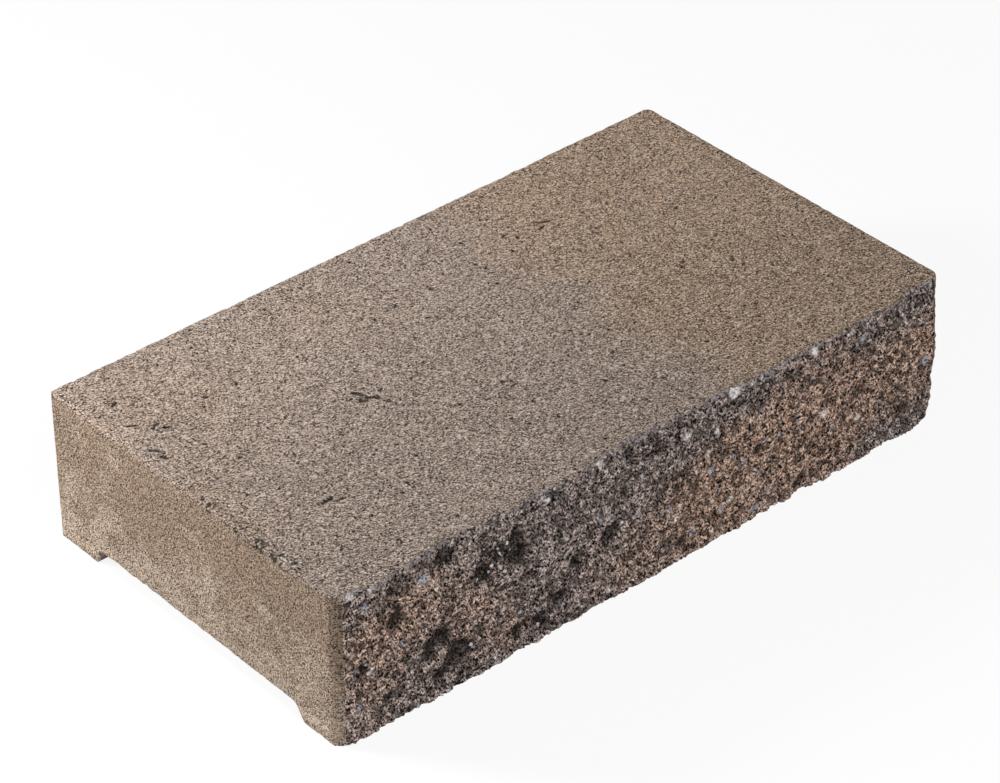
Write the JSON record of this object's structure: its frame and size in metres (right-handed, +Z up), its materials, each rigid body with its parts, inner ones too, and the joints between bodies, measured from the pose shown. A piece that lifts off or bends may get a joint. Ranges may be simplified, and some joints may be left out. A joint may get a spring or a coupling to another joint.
{
  "type": "wall cap block",
  "caption": "Rectangular concrete wall cap with a flat top, a rough split front, rounded front corners and a shallow channel along its underside.",
  "frame": {"origin": "middle of the block's overall box in plan, on the plane that its two feet rest on", "axes": "+X along the block from its left end to its right end, the split front looks towards -Y, +Z up from the feet to the flat top"},
  "size_m": [0.457, 0.254, 0.102],
  "materials": {
    "concrete": "dry-cast concrete, sandy and unpolished, tan-grey, with a darker split front that shows brown matrix and grey, blue-grey and white aggregate"
  },
  "bodies": {
    "root": {"cap_block": "concrete"}
  },
  "joints": []
}
